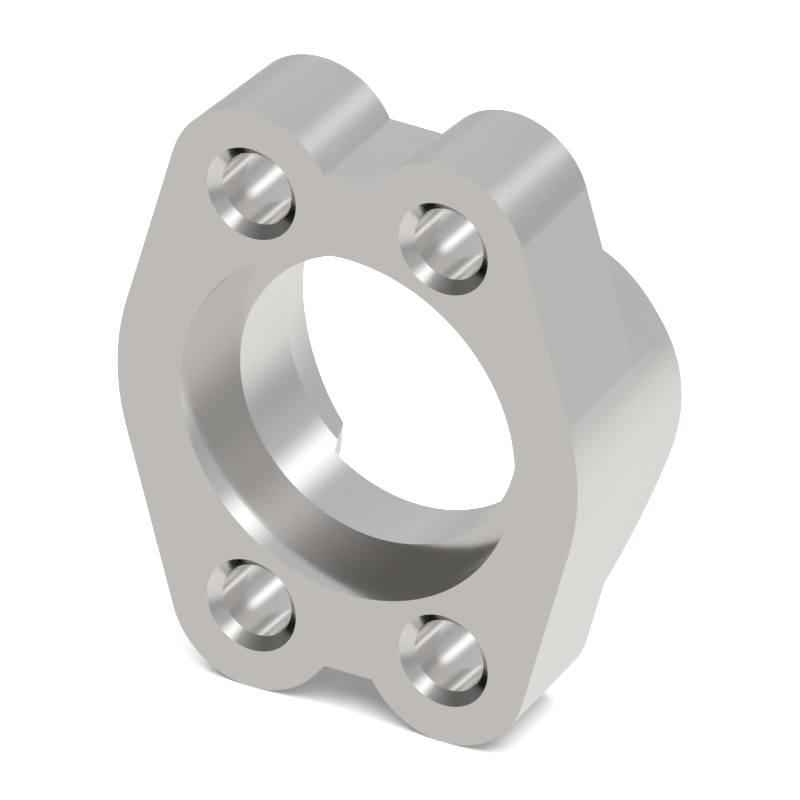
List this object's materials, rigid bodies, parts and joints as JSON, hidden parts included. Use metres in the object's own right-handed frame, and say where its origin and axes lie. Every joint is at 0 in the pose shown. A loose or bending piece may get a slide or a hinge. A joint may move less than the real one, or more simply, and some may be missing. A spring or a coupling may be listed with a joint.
{
  "type": "hydraulic flange clamp",
  "caption": "One-piece steel flange clamp: lobed plate with countersunk bolt holes, a stepped bore for a flanged hose head, and two rounded ears behind a channel.",
  "frame": {"origin": "the point where the axis of the bore meets the flat mating face", "axes": "+Y along the bore from the mating face back towards the hose, +Z along the wide bolt spacing, +X along the narrow one"},
  "size_m": [0.0532, 0.0225, 0.0664],
  "materials": {
    "forged_steel": "satin"
  },
  "bodies": {
    "root": {"flange_clamp": "forged_steel"}
  },
  "joints": []
}
